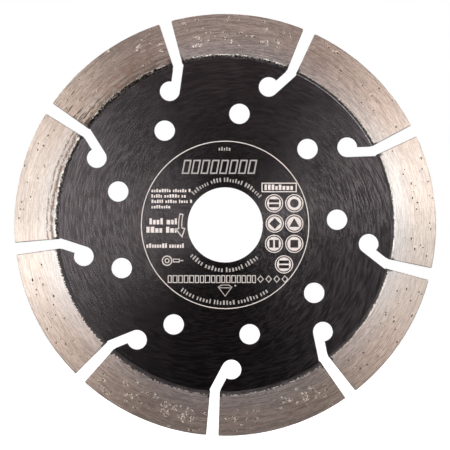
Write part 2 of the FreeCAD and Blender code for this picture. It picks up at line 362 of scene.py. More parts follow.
# -------- node helpers
class Graph:
    """Short calls for building a material's nodes."""

    def __init__(self, name):
        self.material = bpy.data.materials.new(name)
        self.material.use_nodes = True
        self.tree = self.material.node_tree
        self.tree.nodes.clear()
        self.find_place()

    def node(self, kind, **inputs):
        made = self.tree.nodes.new("ShaderNode" + kind)
        for key, value in inputs.items():
            self.put(made, key, value)
        return made

    def put(self, node, key, value):
        socket_in = node.inputs[key]
        if isinstance(value, bpy.types.NodeSocket):
            self.tree.links.new(value, socket_in)
        elif isinstance(value, bpy.types.Node):
            self.tree.links.new(value.outputs[0], socket_in)
        else:
            socket_in.default_value = value

    def make(self, kind, *inputs, output=0, **settings):
        """Add a node with these settings and inputs; an input of None keeps its own value."""
        made = self.node(kind)
        for key, value in settings.items():
            setattr(made, key, value)
        for index, value in enumerate(inputs):
            if value is not None:
                self.put(made, index, value)
        return made.outputs[output]

    def math(self, operation, *values):
        return self.make("Math", *values, operation=operation)

    def split(self, vector):
        """x, y and z of a vector."""
        return self.node("SeparateXYZ", Vector=vector).outputs

    def scaled(self, value, factor, start):
        """value times factor, plus start."""
        return self.math("MULTIPLY_ADD", value, factor, start)

    def product(self, first, *others):
        for other in others:
            first = self.math("MULTIPLY", first, other)
        return first

    def swing(self, value, amount, start=0.0):
        """start, moved by amount times what the value has above a half."""
        return self.scaled(self.math("SUBTRACT", value, 0.5), amount, start)

    def away(self, value, centre):
        """How far a value lies from a centre, either way."""
        return self.math("ABSOLUTE", self.math("SUBTRACT", value, centre))

    def noise(self, vector, scale=1.0, detail=2.0, roughness=0.5):
        made = self.node("TexNoise", Vector=vector, Scale=scale, Detail=detail, Roughness=roughness)
        return made.outputs["Fac"]

    def remap(self, value, low, high, out_low=0.0, out_high=1.0, kind="LINEAR"):
        return self.make("MapRange", value, low, high, out_low, out_high, interpolation_type=kind)

    def mix(self, factor, a, b, blend="MIX"):
        """A colour between two; a mix node's colours are its inputs 6 and 7."""
        skipped = [None] * 5
        return self.make("Mix", factor, *skipped, a, b, output=2, data_type="RGBA", blend_type=blend)

    def mixf(self, factor, a, b):
        return self.make("Mix", factor, None, a, b)

    def combine(self, *parts):
        return self.make("CombineXYZ", *parts)

    def find_place(self):
        """Blade coordinates in mm: radius, depth, unit direction and the outward vector."""
        point = self.node("TexCoord").outputs["Object"]
        x, y, z = (self.product(metres, 1000.0) for metres in self.split(point))
        flat = self.combine(x, 0.0, z)
        self.radius = self.make("VectorMath", flat, output="Value", operation="LENGTH")
        self.depth = y
        self.outward = self.make("VectorMath", flat, operation="NORMALIZE")
        self.cos, _, self.sin = self.split(self.outward)
        self.point = self.combine(x, y, z)

    def ring_space(self, reach, along, across, shift):
        """Space bent round the blade: along and across are cells per mm at the rim."""
        ring = along * RIM_R
        drawn = self.scaled(reach, across, shift)
        return self.combine(self.product(self.cos, ring), self.product(self.sin, ring), drawn)

    def streaks(self, along, across, shift, detail, roughness, sway=0.0):
        """Noise drawn out round the blade; sway lets the streaks wander in and out."""
        reach = self.radius
        if sway:
            drift = self.noise(self.combine(self.cos, self.sin, 3.0), 2.5)
            reach = self.scaled(drift, sway, reach)
        reach = self.scaled(self.depth, 1.3, reach)
        return self.noise(self.ring_space(reach, along, across, shift), 1.0, detail, roughness)

    def spiral_streaks(self, along, across, shift, tilt):
        """Plain streaks that lean from the circle by tilt. Two copies hide each other's seam."""
        layers = []
        for sign in (1, -1):
            turn = self.math("ARCTAN2", self.product(self.cos, -sign), self.product(self.sin, sign))
            reach = self.scaled(turn, tilt * 0.6 * RIM_R, self.radius)
            layers.append(self.noise(self.ring_space(reach, along, across, shift), detail=0.0))
        return self.mixf(self.remap(self.sin, -0.93, -0.8), layers[1], layers[0])

    def leaning(self, tilt):
        """The outward vector turned anticlockwise by tilt, which the lacquer's strokes cross."""
        c, s = math.cos(tilt), math.sin(tilt)
        x = self.scaled(self.sin, -s, self.product(self.cos, c))
        z = self.scaled(self.cos, s, self.product(self.sin, c))
        return self.combine(x, 0.0, z)

    def end_distance(self):
        """How far a point of a segment lies from its nearer end, in mm."""
        turn = self.math("SUBTRACT", self.math("ARCTAN2", self.sin, self.cos), SLOT_PHASE)
        to_gap = self.math("PINGPONG", turn, PITCH / 2)
        return self.product(self.math("SUBTRACT", to_gap, PITCH / 2 - HALF_SWEEP), self.radius)

    def bump(self, height, strength, distance):
        return self.node("Bump", Strength=strength, Distance=distance * MM, Height=height)

    def finish(self, colour, roughness, metallic=0.0, **inputs):
        shader = self.node("BsdfPrincipled", Roughness=roughness, Metallic=metallic, **inputs)
        self.put(shader, "Base Color", colour)
        self.node("OutputMaterial", Surface=shader)
        return self.material


def character(g):
    """The segment's own traits, kept in its object colour: lacquer left, bare bead, heat, rust."""
    info = g.node("ObjectInfo")
    split = g.node("SeparateColor", Color=info.outputs["Color"])
    return *split.outputs, info.outputs["Alpha"]


def lacquer_parts(g):
    """Colour and roughness of thin satin lacquer over brushed steel, its strokes partly painted sheen."""
    strokes = g.spiral_streaks(0.16, 3.2, 2, LACQUER_TILT)
    hair = g.spiral_streaks(0.25, 3.5, 31, LACQUER_TILT)
    dust = g.noise(g.point, 3.5, 3, 0.7)
    cloud = g.noise(g.point, 0.09, 3, 0.6)
    tone = g.mixf(0.5, strokes, hair)
    # Painted sheen: the strokes are painted with more contrast towards the lower right, where the lamps'
    # reflection in the lacquer shows them most.
    towards = g.scaled(g.sin, -0.77, g.product(g.cos, 0.64))
    depth = g.remap(towards, 0.2, 1, 0.75, 1.9)
    level = g.scaled(g.math("SUBTRACT", g.remap(tone, 0.4, 0.62), 0.48), depth, 0.48)
    colour = g.mix(level, (0.084, 0.0635, 0.068, 1), (0.204, 0.157, 0.166, 1))
    colour = g.mix(g.remap(dust, 0.78, 0.86), colour, (0.2, 0.17, 0.17, 1))
    return colour, g.remap(cloud, 0.3, 0.7, 0.195, 0.215)


def core_material():
    g = Graph("black_lacquer")
    colour, roughness = lacquer_parts(g)
    return g.finish(colour, roughness, 1, Anisotropic=0.73, Tangent=g.leaning(LACQUER_TILT / 2))


def metal_parts(g):
    """Tone, fine scratches and grain of side-ground metal, streaked round the blade."""
    bands = g.streaks(0.06, 0.9, 5, 3, 0.6, sway=0.6)
    lines = g.streaks(0.42, 3.2, 17, 2, 0.7, sway=0.5)
    hairs = g.streaks(0.14, 4.6, 29, 1, 0.5, sway=0.3)
    grain = g.noise(g.point, 3, 3, 0.8)
    tone = g.product(bands, 0.12)
    for part, share in ((lines, 0.33), (hairs, 0.28), (grain, 0.27)):
        tone = g.scaled(part, share, tone)
    return tone, lines, grain


def facing(g):
    """1 on the ground side faces, 0 on ends, rim and other walls."""
    normal = g.split(g.node("NewGeometry").outputs["True Normal"])
    return g.remap(g.math("ABSOLUTE", normal[1]), 0.45, 0.8)


def bared(g, left_on):
    """1 where metal shows beyond the lacquer's ragged edge, 0 under lacquer; and the edge's grain."""
    fine = g.noise(g.point, 1.7, 4, 0.8)
    comb = g.streaks(1.5, 0.7, 3, 2, 0.6)
    ragged = g.remap(left_on, 0.15, 0.35, 0.4, 1)
    edge = g.scaled(g.swing(fine, 1.9, g.swing(comb, 1.5)), ragged, g.radius)
    limit = g.scaled(left_on, 0.5, LACQUER_END)
    clear = g.remap(g.math("SUBTRACT", edge, limit), -0.06, 0.06)
    speck = g.noise(g.point, 2.9, 2, 0.7)
    near = g.remap(g.radius, LACQUER_END - 0.5, LACQUER_END + 0.1)
    worn = g.scaled(left_on, -0.3, 0.42)
    clear = g.math("MAXIMUM", clear, g.product(g.remap(speck, 0.53, 0.6), near, worn))
    # Overspray in the slots blackens the inner corners.
    corner = g.swing(fine, 2, g.end_distance())
    rise = g.swing(comb, 2, g.radius)
    spray = g.product(g.remap(corner, 0.9, 0.5), g.remap(rise, 51.4, 50.9))
    return g.product(clear, g.scaled(spray, -0.85, 1)), fine


HEAT_LINES = ((51.25, 0.78, 1.2), (52.6, 0.36, 1.1))  # radius, half width and wander, in mm


def heat_tint(g, colour, heat, fine):
    """Brown and blue-black lines that a hot weld leaves along the foot."""
    wander = g.streaks(0.09, 0.02, 61, 3, 0.6)
    shade = g.streaks(0.34, 1.5, 71, 3, 0.7)
    lines = []
    for centre, width, drift in HEAT_LINES:
        course = g.swing(fine, 2.1, g.swing(wander, drift, g.radius))
        lines.append(g.remap(g.away(course, centre), width, width * 0.3))
    strength = g.product(g.math("MAXIMUM", *lines), g.remap(shade, 0.38, 0.5), g.product(heat, heat), 0.85)
    return g.mix(strength, colour, (0.13, 0.066, 0.040, 1))


def ground_level(g, tone):
    """Tone stretched to light and dark; painted light: the streaks are painted stronger on the dim top and
    bottom segments and weaker on the brightly lit sides.
    """
    stretch = g.remap(g.math("ABSOLUTE", g.sin), 0.45, 0.85, 0.65, 1.6)
    return g.swing(g.remap(tone, 0.43, 0.57), stretch, 0.5)


def painted_grazing_tint(g, colour):
    """Painted shade: a browner tone painted on the slanting segments, which the side light only grazes."""
    slant = g.math("ABSOLUTE", g.cos)
    amount = g.product(g.remap(slant, 0.96, 0.80), g.remap(slant, 0.25, 0.5))
    return g.mix(amount, colour, (1, 0.925, 0.89, 1), "MULTIPLY")


def rusted(g, colour, rusty):
    """Rust streaks, a rusty cast and dark stains across a ground face, as far as it is rusty."""
    patch = g.streaks(0.05, 0.34, 40, 3, 0.65)
    smear = g.streaks(0.5, 1.6, 55, 2, 0.6)
    inner = g.remap(g.radius, 59.5, 55)
    rust = g.product(g.remap(patch, 0.46, 0.6), g.remap(smear, 0.42, 0.62), inner, rusty, 0.62)
    colour = g.mix(rust, colour, (0.42, 0.19, 0.12, 1))
    colour = g.mix(g.product(rusty, 0.2, g.remap(g.radius, 60.5, 52)), colour, (0.40, 0.245, 0.18, 1))
    # Dark stains gather at the segment's left end, most of all by the weld.
    spread = g.scaled(g.end_distance(), 0.22, g.product(g.math("SUBTRACT", g.radius, 51), 0.22))
    streaks = g.streaks(0.33, 2.3, 90, 0.5, 0.6)
    stain = g.remap(g.scaled(spread, 0.10, streaks), 0.61, 0.53)
    stain = g.product(stain, g.remap(rusty, 0.5, 0.9), g.remap(g.cos, -0.66, -0.72), 0.8)
    return g.mix(stain, colour, (0.06, 0.040, 0.030, 1))


def segment_material(name, foot):
    g = Graph(name)
    left_on, _, heat, rusty = character(g)
    tone, lines, grain = metal_parts(g)
    fine = g.noise(g.point, 2.6, 4, 0.75)
    in_layer = g.remap(g.swing(tone, 9, g.radius), 51.2, 57.5, kind="SMOOTHSTEP")
    level = ground_level(g, tone)
    layer = g.mix(level, (0.38, 0.283, 0.254, 1), (0.655, 0.495, 0.447, 1))
    plain = g.mix(level, (0.385, 0.309, 0.298, 1), (0.66, 0.537, 0.522, 1))
    colour = painted_grazing_tint(g, g.mix(in_layer, plain, layer))
    colour = rusted(g, heat_tint(g, colour, heat, fine), rusty)

    # Ends and rim are as sintered: darker, browner, not ground. Painted shade darkens the faces along the
    # arrises at the ends and the rim.
    skin = g.noise(g.point, 2.4, 4, 0.7)
    raw = g.mix(g.remap(skin, 0.35, 0.65), (0.20, 0.165, 0.142, 1), (0.52, 0.44, 0.385, 1))
    arris = g.product(g.remap(g.swing(fine, 0.25, g.end_distance()), 0.30, 0.14), 0.7)
    rim = g.product(g.remap(g.radius, RIM_R - 0.4, RIM_R - 0.15), 0.25)
    colour = g.mix(g.math("MAXIMUM", arris, rim), colour, (0.09, 0.072, 0.062, 1))
    ground = facing(g)
    colour = g.mix(ground, raw, colour)
    roughness = g.mixf(ground, 0.6, g.remap(lines, 0.3, 0.7, 0.44, 0.385))
    if foot:
        clear, _ = bared(g, left_on)
        paint, gloss = lacquer_parts(g)
        colour = g.mix(clear, paint, colour)
        roughness = g.mixf(clear, gloss, roughness)
        along = g.product(ground, g.mixf(clear, 0.73, 0.96))
    else:
        # Rims of metal round the grit stand proud and are worn bright.
        proud = g.remap(g.math("ABSOLUTE", g.depth), FACE_HALF + 0.003, FACE_HALF + 0.014)
        colour = g.mix(g.product(proud, 0.34), colour, (0.90, 0.76, 0.66, 1))
        roughness = g.mixf(proud, roughness, 0.46)
        along = g.product(ground, g.scaled(proud, -0.45, 0.96))
    relief = g.bump(g.scaled(grain, 0.5, lines), 0.25, 0.010)
    return g.finish(colour, roughness, 1, Anisotropic=along, Tangent=g.outward, Normal=relief)


def socket_material():
    g = Graph("socket_shade")
    # The dish of each socket is painted dark brown in mottled patches: dirt in the pit and painted shade of
    # its depth.
    dirt_and_shade = g.noise(g.point, 6, 3, 0.7)
    colour = g.mix(g.remap(dirt_and_shade, 0.35, 0.65), (0.034, 0.020, 0.014, 1), (0.15, 0.093, 0.063, 1))
    return g.finish(colour, 0.7, 0.2, Normal=g.bump(dirt_and_shade, 0.8, 0.03))


def weld_material():
    g = Graph("weld_metal")
    left_on, molten, heat, rusty = character(g)
    tone, _, _ = metal_parts(g)
    clear, fine = bared(g, left_on)
    lumps = g.noise(g.point, 1.5, 4, 0.7)
    plain = g.mix(ground_level(g, tone), (0.30, 0.242, 0.229, 1), (0.66, 0.534, 0.510, 1))
    silver = g.mix(g.remap(lumps, 0.4, 0.58), (0.30, 0.255, 0.240, 1), (0.80, 0.705, 0.670, 1))
    metal = heat_tint(g, painted_grazing_tint(g, g.mix(molten, plain, silver)), heat, fine)
    paint, _ = lacquer_parts(g)
    burnt = g.mix(g.mixf(molten, 0.85, 0.45), paint, (0.014, 0.012, 0.012, 1))
    # Painted highlight: a thin silver line painted along the toe of one bead, which takes the bare metal's
    # finish.
    toe = g.away(g.scaled(fine, 0.25, g.radius), 49.5)
    only = g.remap(g.away(heat, TOE_HIGHLIGHT_HEAT), 0.08, 0.03)
    painted_toe_highlight = g.product(g.remap(toe, 0.22, 0.08), only, 0.85)
    metal = g.mix(painted_toe_highlight, metal, (0.42, 0.38, 0.40, 1))
    clear = g.math("MAXIMUM", clear, painted_toe_highlight)
    colour = g.mix(clear, burnt, metal)
    # Soot and deep pits along the inner side of a hot bead.
    reach = g.scaled(rusty, -0.4, g.radius)
    band = g.product(g.remap(g.radius, 49.15, 49.35), g.remap(reach, 50.8, 50.1))
    pits = g.scaled(rusty, -0.05, lumps)
    soot = g.product(band, molten, g.remap(pits, 0.50, 0.45))
    colour = g.mix(soot, colour, (0.020, 0.014, 0.011, 1))
    shiny = g.product(molten, clear)
    roughness = g.mixf(clear, 0.5, g.mixf(shiny, 0.42, 0.34))
    along = g.mixf(clear, 0.6, g.mixf(shiny, 0.9, 0.45))
    relief = g.bump(g.math("ADD", lumps, fine), g.mixf(molten, 0.35, 0.9), 0.05)
    return g.finish(colour, roughness, 1, Anisotropic=along, Tangent=g.outward, Normal=relief)


def etched_material():
    """Bright bare steel; the piece's own colour says how strongly its marks show."""
    g = Graph("etched_steel")
    grain = g.noise(g.point, 5, 3, 0.7)
    burn = g.noise(g.point, 1.1, 2, 0.6)
    colour = g.mix(g.remap(grain, 0.35, 0.65), (0.66, 0.515, 0.49, 1), (0.98, 0.80, 0.775, 1))
    colour = g.mix(g.remap(burn, 0.55, 0.75, 0, 0.35), colour, (0.50, 0.43, 0.40, 1))
    strength, _, _, _ = character(g)
    colour = g.mix(strength, (0.06, 0.052, 0.052, 1), colour)
    return g.finish(colour, g.remap(grain, 0.3, 0.7, 0.5, 0.7), 0.1, Normal=g.bump(grain, 0.5, 0.02))


def grit_material():
    g = Graph("diamond_grit")
    pick = g.noise(g.point, 0.8, 1)
    cloud = g.noise(g.point, 7, 2)
    colour = g.mix(g.remap(pick, 0.45, 0.66), (0.045, 0.036, 0.024, 1), (0.42, 0.31, 0.11, 1))
    colour = g.mix(g.remap(cloud, 0.5, 0.62), colour, (0.03, 0.026, 0.02, 1))
    return g.finish(colour, g.remap(cloud, 0.3, 0.7, 0.2, 0.45), IOR=1.7, Normal=g.bump(cloud, 0.3, 0.02))


def floor_material():
    g = Graph("pale_floor")
    point = g.node("TexCoord").outputs["Object"]
    grain = g.noise(point, 40, 3, 0.6)
    colour = g.mix(grain, (0.23, 0.23, 0.23, 1), (0.27, 0.27, 0.27, 1))
    return g.finish(colour, 0.9, **{"Emission Color": (1, 1, 1, 1), "Emission Strength": 1})


LACQUER = core_material()
LAYER = segment_material("diamond_layer_metal", foot=False)
FOOT = segment_material("foot_metal", foot=True)
SOCKET = socket_material()
WELD = weld_material()
ETCHED = etched_material()
GRIT = grit_material()


# -------- core plate
def arc_points(x, z, radius, start, end, count):
    turns = np.linspace(start, end, count)
    return [(x + radius * math.cos(a), z + radius * math.sin(a)) for a in turns]


def circle(x, z, radius, count):
    return arc_points(x, z, radius, 0, FULL_TURN, count + 1)[:-1]


def rotate(points, angle):
    c, s = math.cos(angle), math.sin(angle)
    return [(x * c - z * s, x * s + z * c) for x, z in points]


def core_outline():
    """Rim of the core as one loop that dips into every slot and round its keyhole."""
    c, s = math.cos(SLOT_LEAN), math.sin(SLOT_LEAN)
    inward, across = np.array([-c, s]), np.array([s, c])
    centre = np.array(KEYHOLE)
    touch = centre - across * KEYHOLE_R
    offset = KEYHOLE_R - SLOT_WIDTH
    corner = centre - inward * math.sqrt(KEYHOLE_R**2 - offset**2) - across * offset
    low_bend = touch - inward * ((touch[1] + MOUTH_HALF) / inward[1])
    high_bend = corner - inward * ((corner[1] - MOUTH_HALF) / inward[1])
    start = math.atan2(*(touch - centre)[::-1])
    end = math.atan2(*(corner - centre)[::-1])
    mouth = math.asin(MOUTH_HALF / CORE_R)
    reach = math.sqrt(CORE_R**2 - MOUTH_HALF**2)
    slot = [(reach, -MOUTH_HALF), tuple(low_bend)]
    slot += arc_points(*centre, KEYHOLE_R, start, end - FULL_TURN, 44)
    slot += [tuple(high_bend), (reach, MOUTH_HALF)]
    loop = []
    for k in range(SEGMENTS):
        loop += rotate(slot, k * PITCH)
        loop += rotate(arc_points(0, 0, CORE_R, mouth, PITCH - mouth, 40)[1:-1], k * PITCH)
    return rotate(loop, SLOT_PHASE)


def plate(name, loops, y_mid, half, material, edge=0.0):
    """A flat plate in the blade's plane from outline loops in mm; inner loops are holes."""
    curve = bpy.data.curves.new(name, "CURVE")
    curve.dimensions = "2D"
    curve.fill_mode = "BOTH"
    curve.extrude = (half - edge) * MM
    curve.bevel_depth = edge * MM
    curve.bevel_resolution = 2
    curve.offset = -edge * MM
    for loop in loops:
        spline = curve.splines.new("POLY")
        spline.points.add(len(loop) - 1)
        flat = [value for x, z in loop for value in (x * MM, z * MM, 0, 1)]
        spline.points.foreach_set("co", flat)
        spline.use_cyclic_u = True
    helper = add_object(name + "_curve", curve)
    bpy.context.view_layer.update()
    mesh = bpy.data.meshes.new_from_object(helper.evaluated_get(bpy.context.evaluated_depsgraph_get()))
    bpy.data.objects.remove(helper)
    coords = np.empty(len(mesh.vertices) * 3)
    mesh.vertices.foreach_get("co", coords)
    x, z, out = coords.reshape(-1, 3).T
    mesh.vertices.foreach_set("co", np.stack([x, y_mid * MM - out, z], axis=1).ravel())
    mesh.name = name
    return mesh_object(name, mesh, [material])


def build_core():
    loops = [core_outline(), circle(0, 0, BORE_R, 128)]
    for k in range(SEGMENTS):
        a = SLOT_PHASE + VENT_LEAD + k * PITCH
        loops.append(circle(VENT_CIRCLE * math.cos(a), VENT_CIRCLE * math.sin(a), VENT_R, 64))
    core = plate("core_plate", loops, 0.0, CORE_HALF, LACQUER, CORE_EDGE)
    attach(core, "root")
    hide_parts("core")


# -------- segments and feet
GRIT_SHELL = Shell()


def scatter(centre, count, rand):
    """Places for grit over a segment face: angle and radius, thinning out towards the foot."""
    angles = centre + rand.uniform(-HALF_SWEEP, HALF_SWEEP, count) * 0.97
    radii = FOOT_R + 0.3 + (RIM_R - FOOT_R - 0.7) * rand.uniform(0, 1, count) ** 0.8
    return zip(angles, radii)


def local_frame(origin, along, across, up):
    """A function from steps along, across and up to a place on the blade."""
    def place(s, t, h):
        return origin + along * s + across * t + up * h

    return place


def directions(a):
    """Unit vectors outward and anticlockwise, at an angle round the blade."""
    return np.array([math.cos(a), 0, math.sin(a)]), np.array([-math.sin(a), 0, math.cos(a)])


def face_place(a, r, side):
    """Local frame on a segment face: steps along the arc, outward, and off the face."""
    outward, tangent = directions(a)
    off_face = np.array([0, side, 0])
    origin = outward * r + off_face * (FACE_HALF + 0.0015)
    return local_frame(origin, tangent * -side, outward, off_face)


def rim_place(a, y):
    """Local frame on the rim: steps along it, across it to the front, and off it."""
    outward, tangent = directions(a)
    origin = outward * (RIM_R - 0.06) + np.array([0, y, 0])
    return local_frame(origin, tangent, np.array([0, -1, 0]), outward)


# Segment: (angle in degrees, spread, mean radius, number) of the coarse curls round worn-out grit.
CURLS = {
    2: ((97.5, 2.0, 55.2, 9), (82, 9.0, 55.5, 7)),
    3: ((113, 5.0, 58.0, 5),),
    6: ((255.5, 5.0, 57.2, 24), (243, 6.0, 56.0, 7)),
    7: ((293, 7.5, 55.2, 18),),
}
END_MARGIN = 0.009  # no grit this close to a segment's end, in radians
RIM_GRIT = 110
GRIT_COUNT = {1: 22, 2: 38, 3: 26, 4: 14, 5: 22, 6: 38, 7: 32, 8: 30, 9: 24}


def build_segment(k):
    centre = SLOT_PHASE + (k - 0.5) * PITCH
    rand = np.random.default_rng(100 + k)
    shell = Shell()
    sector_block(shell, centre, FOOT_R, RIM_R - 0.01, FACE_HALF, Noise(k), corner=SEGMENT_CORNER)
    for side in (-1, 1):
        for a, r in scatter(centre, GRIT_COUNT[k] + int(rand.integers(0, 5)), rand):
            size = rand.uniform(0.16, 0.35)
            tail = rand.uniform(0.5, 5.0) if rand.uniform() < 0.6 else 0.2
            # A tail runs anticlockwise and stops short of the segment's end.
            room = (centre + HALF_SWEEP - a) * r
            if abs(a - centre) > HALF_SWEEP - END_MARGIN or room < size * (2.0 + 1.3 * tail):
                continue
            place = face_place(a, r, side)
            height = rand.uniform(0.014, 0.026)
            socket(shell, place, size, height, tail, 0 if side < 0 else math.pi, rand)
            if rand.uniform() < 0.5:
                crystal(GRIT_SHELL, place(0, 0, 0.008 - size * 0.32), size * 0.45, rand)
    for spot, reach, r_mid, count in CURLS.get(k, ()):
        for _ in range(count):
            a = math.radians(spot + rand.uniform(-reach, reach))
            place = face_place(a, r_mid + rand.uniform(-2.4, 2.4), -1)
            size = rand.uniform(0.2, 0.46)
            height = rand.uniform(0.018, 0.028)
            socket(shell, place, size, height, rand.uniform(0.0, 1.6), 0, rand, shaded=False)
    for _ in range(RIM_GRIT):
        a = centre + rand.uniform(-HALF_SWEEP, HALF_SWEEP) * 0.95
        size = rand.uniform(0.13, 0.24)
        place = rim_place(a, rand.uniform(-0.85, 0.85))
        socket(shell, place, size, 0.045, rand.uniform(0.3, 2.0), 0, rand)
        crystal(GRIT_SHELL, place(0, 0, -size * 0.2), size * 0.5, rand)
    segment = shell.object(f"segment_{k}_ground", LAYER, SOCKET)
    segment.color = CHARACTER[k]
    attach(segment, "root")
    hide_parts(f"segment_{k}")

    shell = Shell()
    sector_block(shell, centre, WELD_R, FOOT_R, FACE_HALF - 0.004, Noise(40 + k), step=0.3,
                 inner_edge=0.3, wave=0.008, wall_wave=0.02, open_rim=False)
    foot = shell.object(f"segment_foot_{k}_ground", FOOT)
    foot.color = CHARACTER[k]
    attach(foot, "root")
    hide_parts(f"segment_foot_{k}")


# -------- weld seams
SEAM_TOE = CORE_R - 0.22
SEAM_HEEL = WELD_R + 0.53
SEAM_TOP = 1.09
SEAM_STEPS = 290
SEAM_ROWS = 22
CORE_DROPLETS = 12
# Half thickness of a bead at shares of its width, from the core outwards.
SEAM_SHARES = (0, 0.04, 0.14, 0.28, 0.42, 0.56, 0.7, 0.85, 1.0)
SEAM_HALVES = (0.685, 0.703, 0.725, 0.79, 0.88, 0.955, 1.01, 1.038, 1.02)
RIPPLE_PITCH = 0.42


def bead_face(noise, side, arc, share, molten):
    """Half thickness of a bead's ripply face, and how far its edge on the core runs out."""
    inside = np.sin(np.pi * share) ** 0.7
    phase = arc + 1.2 * (share - 0.5) ** 2 + 0.2 * noise(arc, 3.0)
    ripple = 0.016 * np.cos(FULL_TURN * phase / RIPPLE_PITCH)
    lumps = 0.05 * noise(arc * 2.1 + 50 * side, share * 3.0) + 0.04 * noise(arc * 4.5, share * 6 + side)
    groove = np.exp(-(((share - 0.4 + 0.06 * noise(arc * 0.9, 5.0)) / 0.12) ** 2))
    pits = np.maximum(noise(arc * 1.8 + 9, share * 3 + 3 * side) + 0.1, 0) * 0.36 * groove
    crest = np.exp(-(((share - 0.74) / 0.13) ** 2)) * (0.5 + 0.5 * noise(arc * 1.1 + 33, share * 2.5 + side))
    base = np.interp(share, SEAM_SHARES, SEAM_HALVES)
    half = base + (ripple + (0.4 + molten) * lumps + molten * (0.075 * crest - pits)) * inside
    run_out = 0.05 * noise(arc * 1.9 + 30 * side, 2.0) * (1 - share) ** 2
    return np.minimum(half, SEAM_TOP), run_out


def add_droplets(shell, centre, side, molten, rand):
    """Weld spatter on the foot and on the core beside a bead."""
    for _ in range(int(40 + 20 * molten)):
        a = centre + rand.uniform(-HALF_SWEEP, HALF_SWEEP) * 0.97
        r = WELD_R + abs(rand.normal(0, 0.6)) + 0.2
        size = rand.uniform(0.05, 0.15)
        blob(shell, polar(r, a, side * (FACE_HALF - 0.01)), size, 0.32, side)
    for _ in range(CORE_DROPLETS):
        a = centre + rand.uniform(-HALF_SWEEP, HALF_SWEEP) * 0.95
        size = rand.uniform(0.04, 0.1)
        r = CORE_R - 0.35 - abs(rand.normal(0, 0.5))
        blob(shell, polar(r, a, side * CORE_HALF), size, 0.5, side)


def build_seam(k):
    centre = SLOT_PHASE + (k - 0.5) * PITCH
    noise = Noise(70 + k)
    rand = np.random.default_rng(200 + k)
    molten = CHARACTER[k][1]
    angles = np.linspace(-HALF_SWEEP, HALF_SWEEP, SEAM_STEPS)
    turn, share = np.meshgrid(angles, np.linspace(0, 1, SEAM_ROWS), indexing="ij")
    radius = SEAM_TOE + (SEAM_HEEL - SEAM_TOE) * share
    arc = (turn + centre) * CORE_R
    shell = Shell()
    grids = []
    for side in (-1, 1):
        half, run_out = bead_face(noise, side, arc, share, molten)
        grids.append(polar(radius + run_out, turn + centre, side * half).reshape(-1, 3))
    n_a, n_r = turn.shape
    front = [i * n_r + j for i, j in border(n_a, n_r)]
    faces = skin_faces(n_a, n_r) + wall_faces(front, [index + n_a * n_r for index in front])
    shell.add(np.concatenate(grids), faces)
    for side in (-1, 1):
        add_droplets(shell, centre, side, molten, rand)
    seam = shell.object(f"weld_seam_{k}_bead", WELD, smooth_angle=60)
    seam.color = CHARACTER[k]
    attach(seam, "root")
    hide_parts(f"weld_seam_{k}")


build_core()
for number in range(1, SEGMENTS + 1):
    build_segment(number)
    build_seam(number)
grit = GRIT_SHELL.object("diamond_grit", GRIT, smooth_angle=5)
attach(grit, "root")


# -------- etched marks
MARK_Y = -(CORE_HALF + 0.004)
MARK_HALF = 0.006


def box_loop(x0, z0, x1, z1, lean=0.0):
    return [(x0, z0), (x1, z0), (x1 + lean, z1), (x0 + lean, z1)]


class Marks:
    """Outlines etched through the lacquer. A loop inside another is its hole."""

    def __init__(self):
        self.loops = []

    def bar(self, x0, z0, x1, z1, lean=0.0):
        self.loops.append(box_loop(x0, z0, x1, z1, lean))

    def frame_bar(self, x0, z0, x1, z1, line, lean=0.0):
        """A bar with a hole that leaves a line of the given width."""
        self.bar(x0, z0, x1, z1, lean)
        slope = lean / (z1 - z0)
        low, high = z0 + line, z1 - line
        left, right = x0 + line, x1 - line
        near, far = slope * line, slope * (high - z0)
        self.loops.append([(left + near, low), (right + near, low), (right + far, high), (left + far, high)])

    def ring(self, x, z, outer, inner, count=48):
        self.loops += [circle(x, z, outer, count), circle(x, z, inner, count)]

    def dot(self, x, z, radius, count=16):
        self.loops.append(circle(x, z, radius, count))

    def band(self, points, line):
        """A closed outline of the given line width, drawn as a loop and a smaller loop."""
        centre = np.mean(points, axis=0)
        spokes = [np.array(p) - centre for p in points]
        self.loops += [points, [tuple(centre + d * (1 - line / np.linalg.norm(d))) for d in spokes]]

    def object(self, name, strength):
        obj = plate(name, self.loops, MARK_Y, MARK_HALF, ETCHED)
        obj.color = (strength, 0, 0, 0)
        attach(obj, "root")


def dashes(start, end, cell, gap, rand, widest, tall_ones, longest, pause):
    """Where each of a row of dashes starts, its width and its height, with a pause after each word."""
    run, limit = 0, rand.integers(4, longest)
    while start < end - cell * 0.5:
        width = cell * rand.uniform(0.75, widest)
        yield start, width, 1.0 if rand.uniform() < tall_ones else 0.74
        start += width + gap
        run += 1
        if run >= limit:
            start += cell * pause
            run, limit = 0, rand.integers(4, longest)


def word_row(marks, x0, x1, z0, z1, rand, cell, gap):
    """A row of plain dashes of uneven height that stands for a line of small print."""
    for x, width, tall in dashes(x0, x1, cell, gap, rand, 1.15, 0.4, 9, 0.9):
        marks.bar(x, z0, min(x + width, x1), z0 + (z1 - z0) * tall)


def word_arc(marks, radius, height, start, end, rand, cell, gap):
    """The same along an arc; angles in degrees, running clockwise or anticlockwise."""
    sweep = math.radians(end - start)
    sign = math.copysign(1, sweep)
    for s, width, tall in dashes(0.0, abs(sweep) * radius, cell, gap, rand, 1.1, 0.45, 8, 1):
        a0 = math.radians(start) + sign * s / radius
        a1 = math.radians(start) + sign * (s + width) / radius
        tall = height * tall
        low, high = (radius, radius + tall) if sign < 0 else (radius + height - tall, radius + height)
        corners = ((low, a0), (low, a1), (high, a1), (high, a0))
        marks.loops.append([(r * math.cos(a), r * math.sin(a)) for r, a in corners])


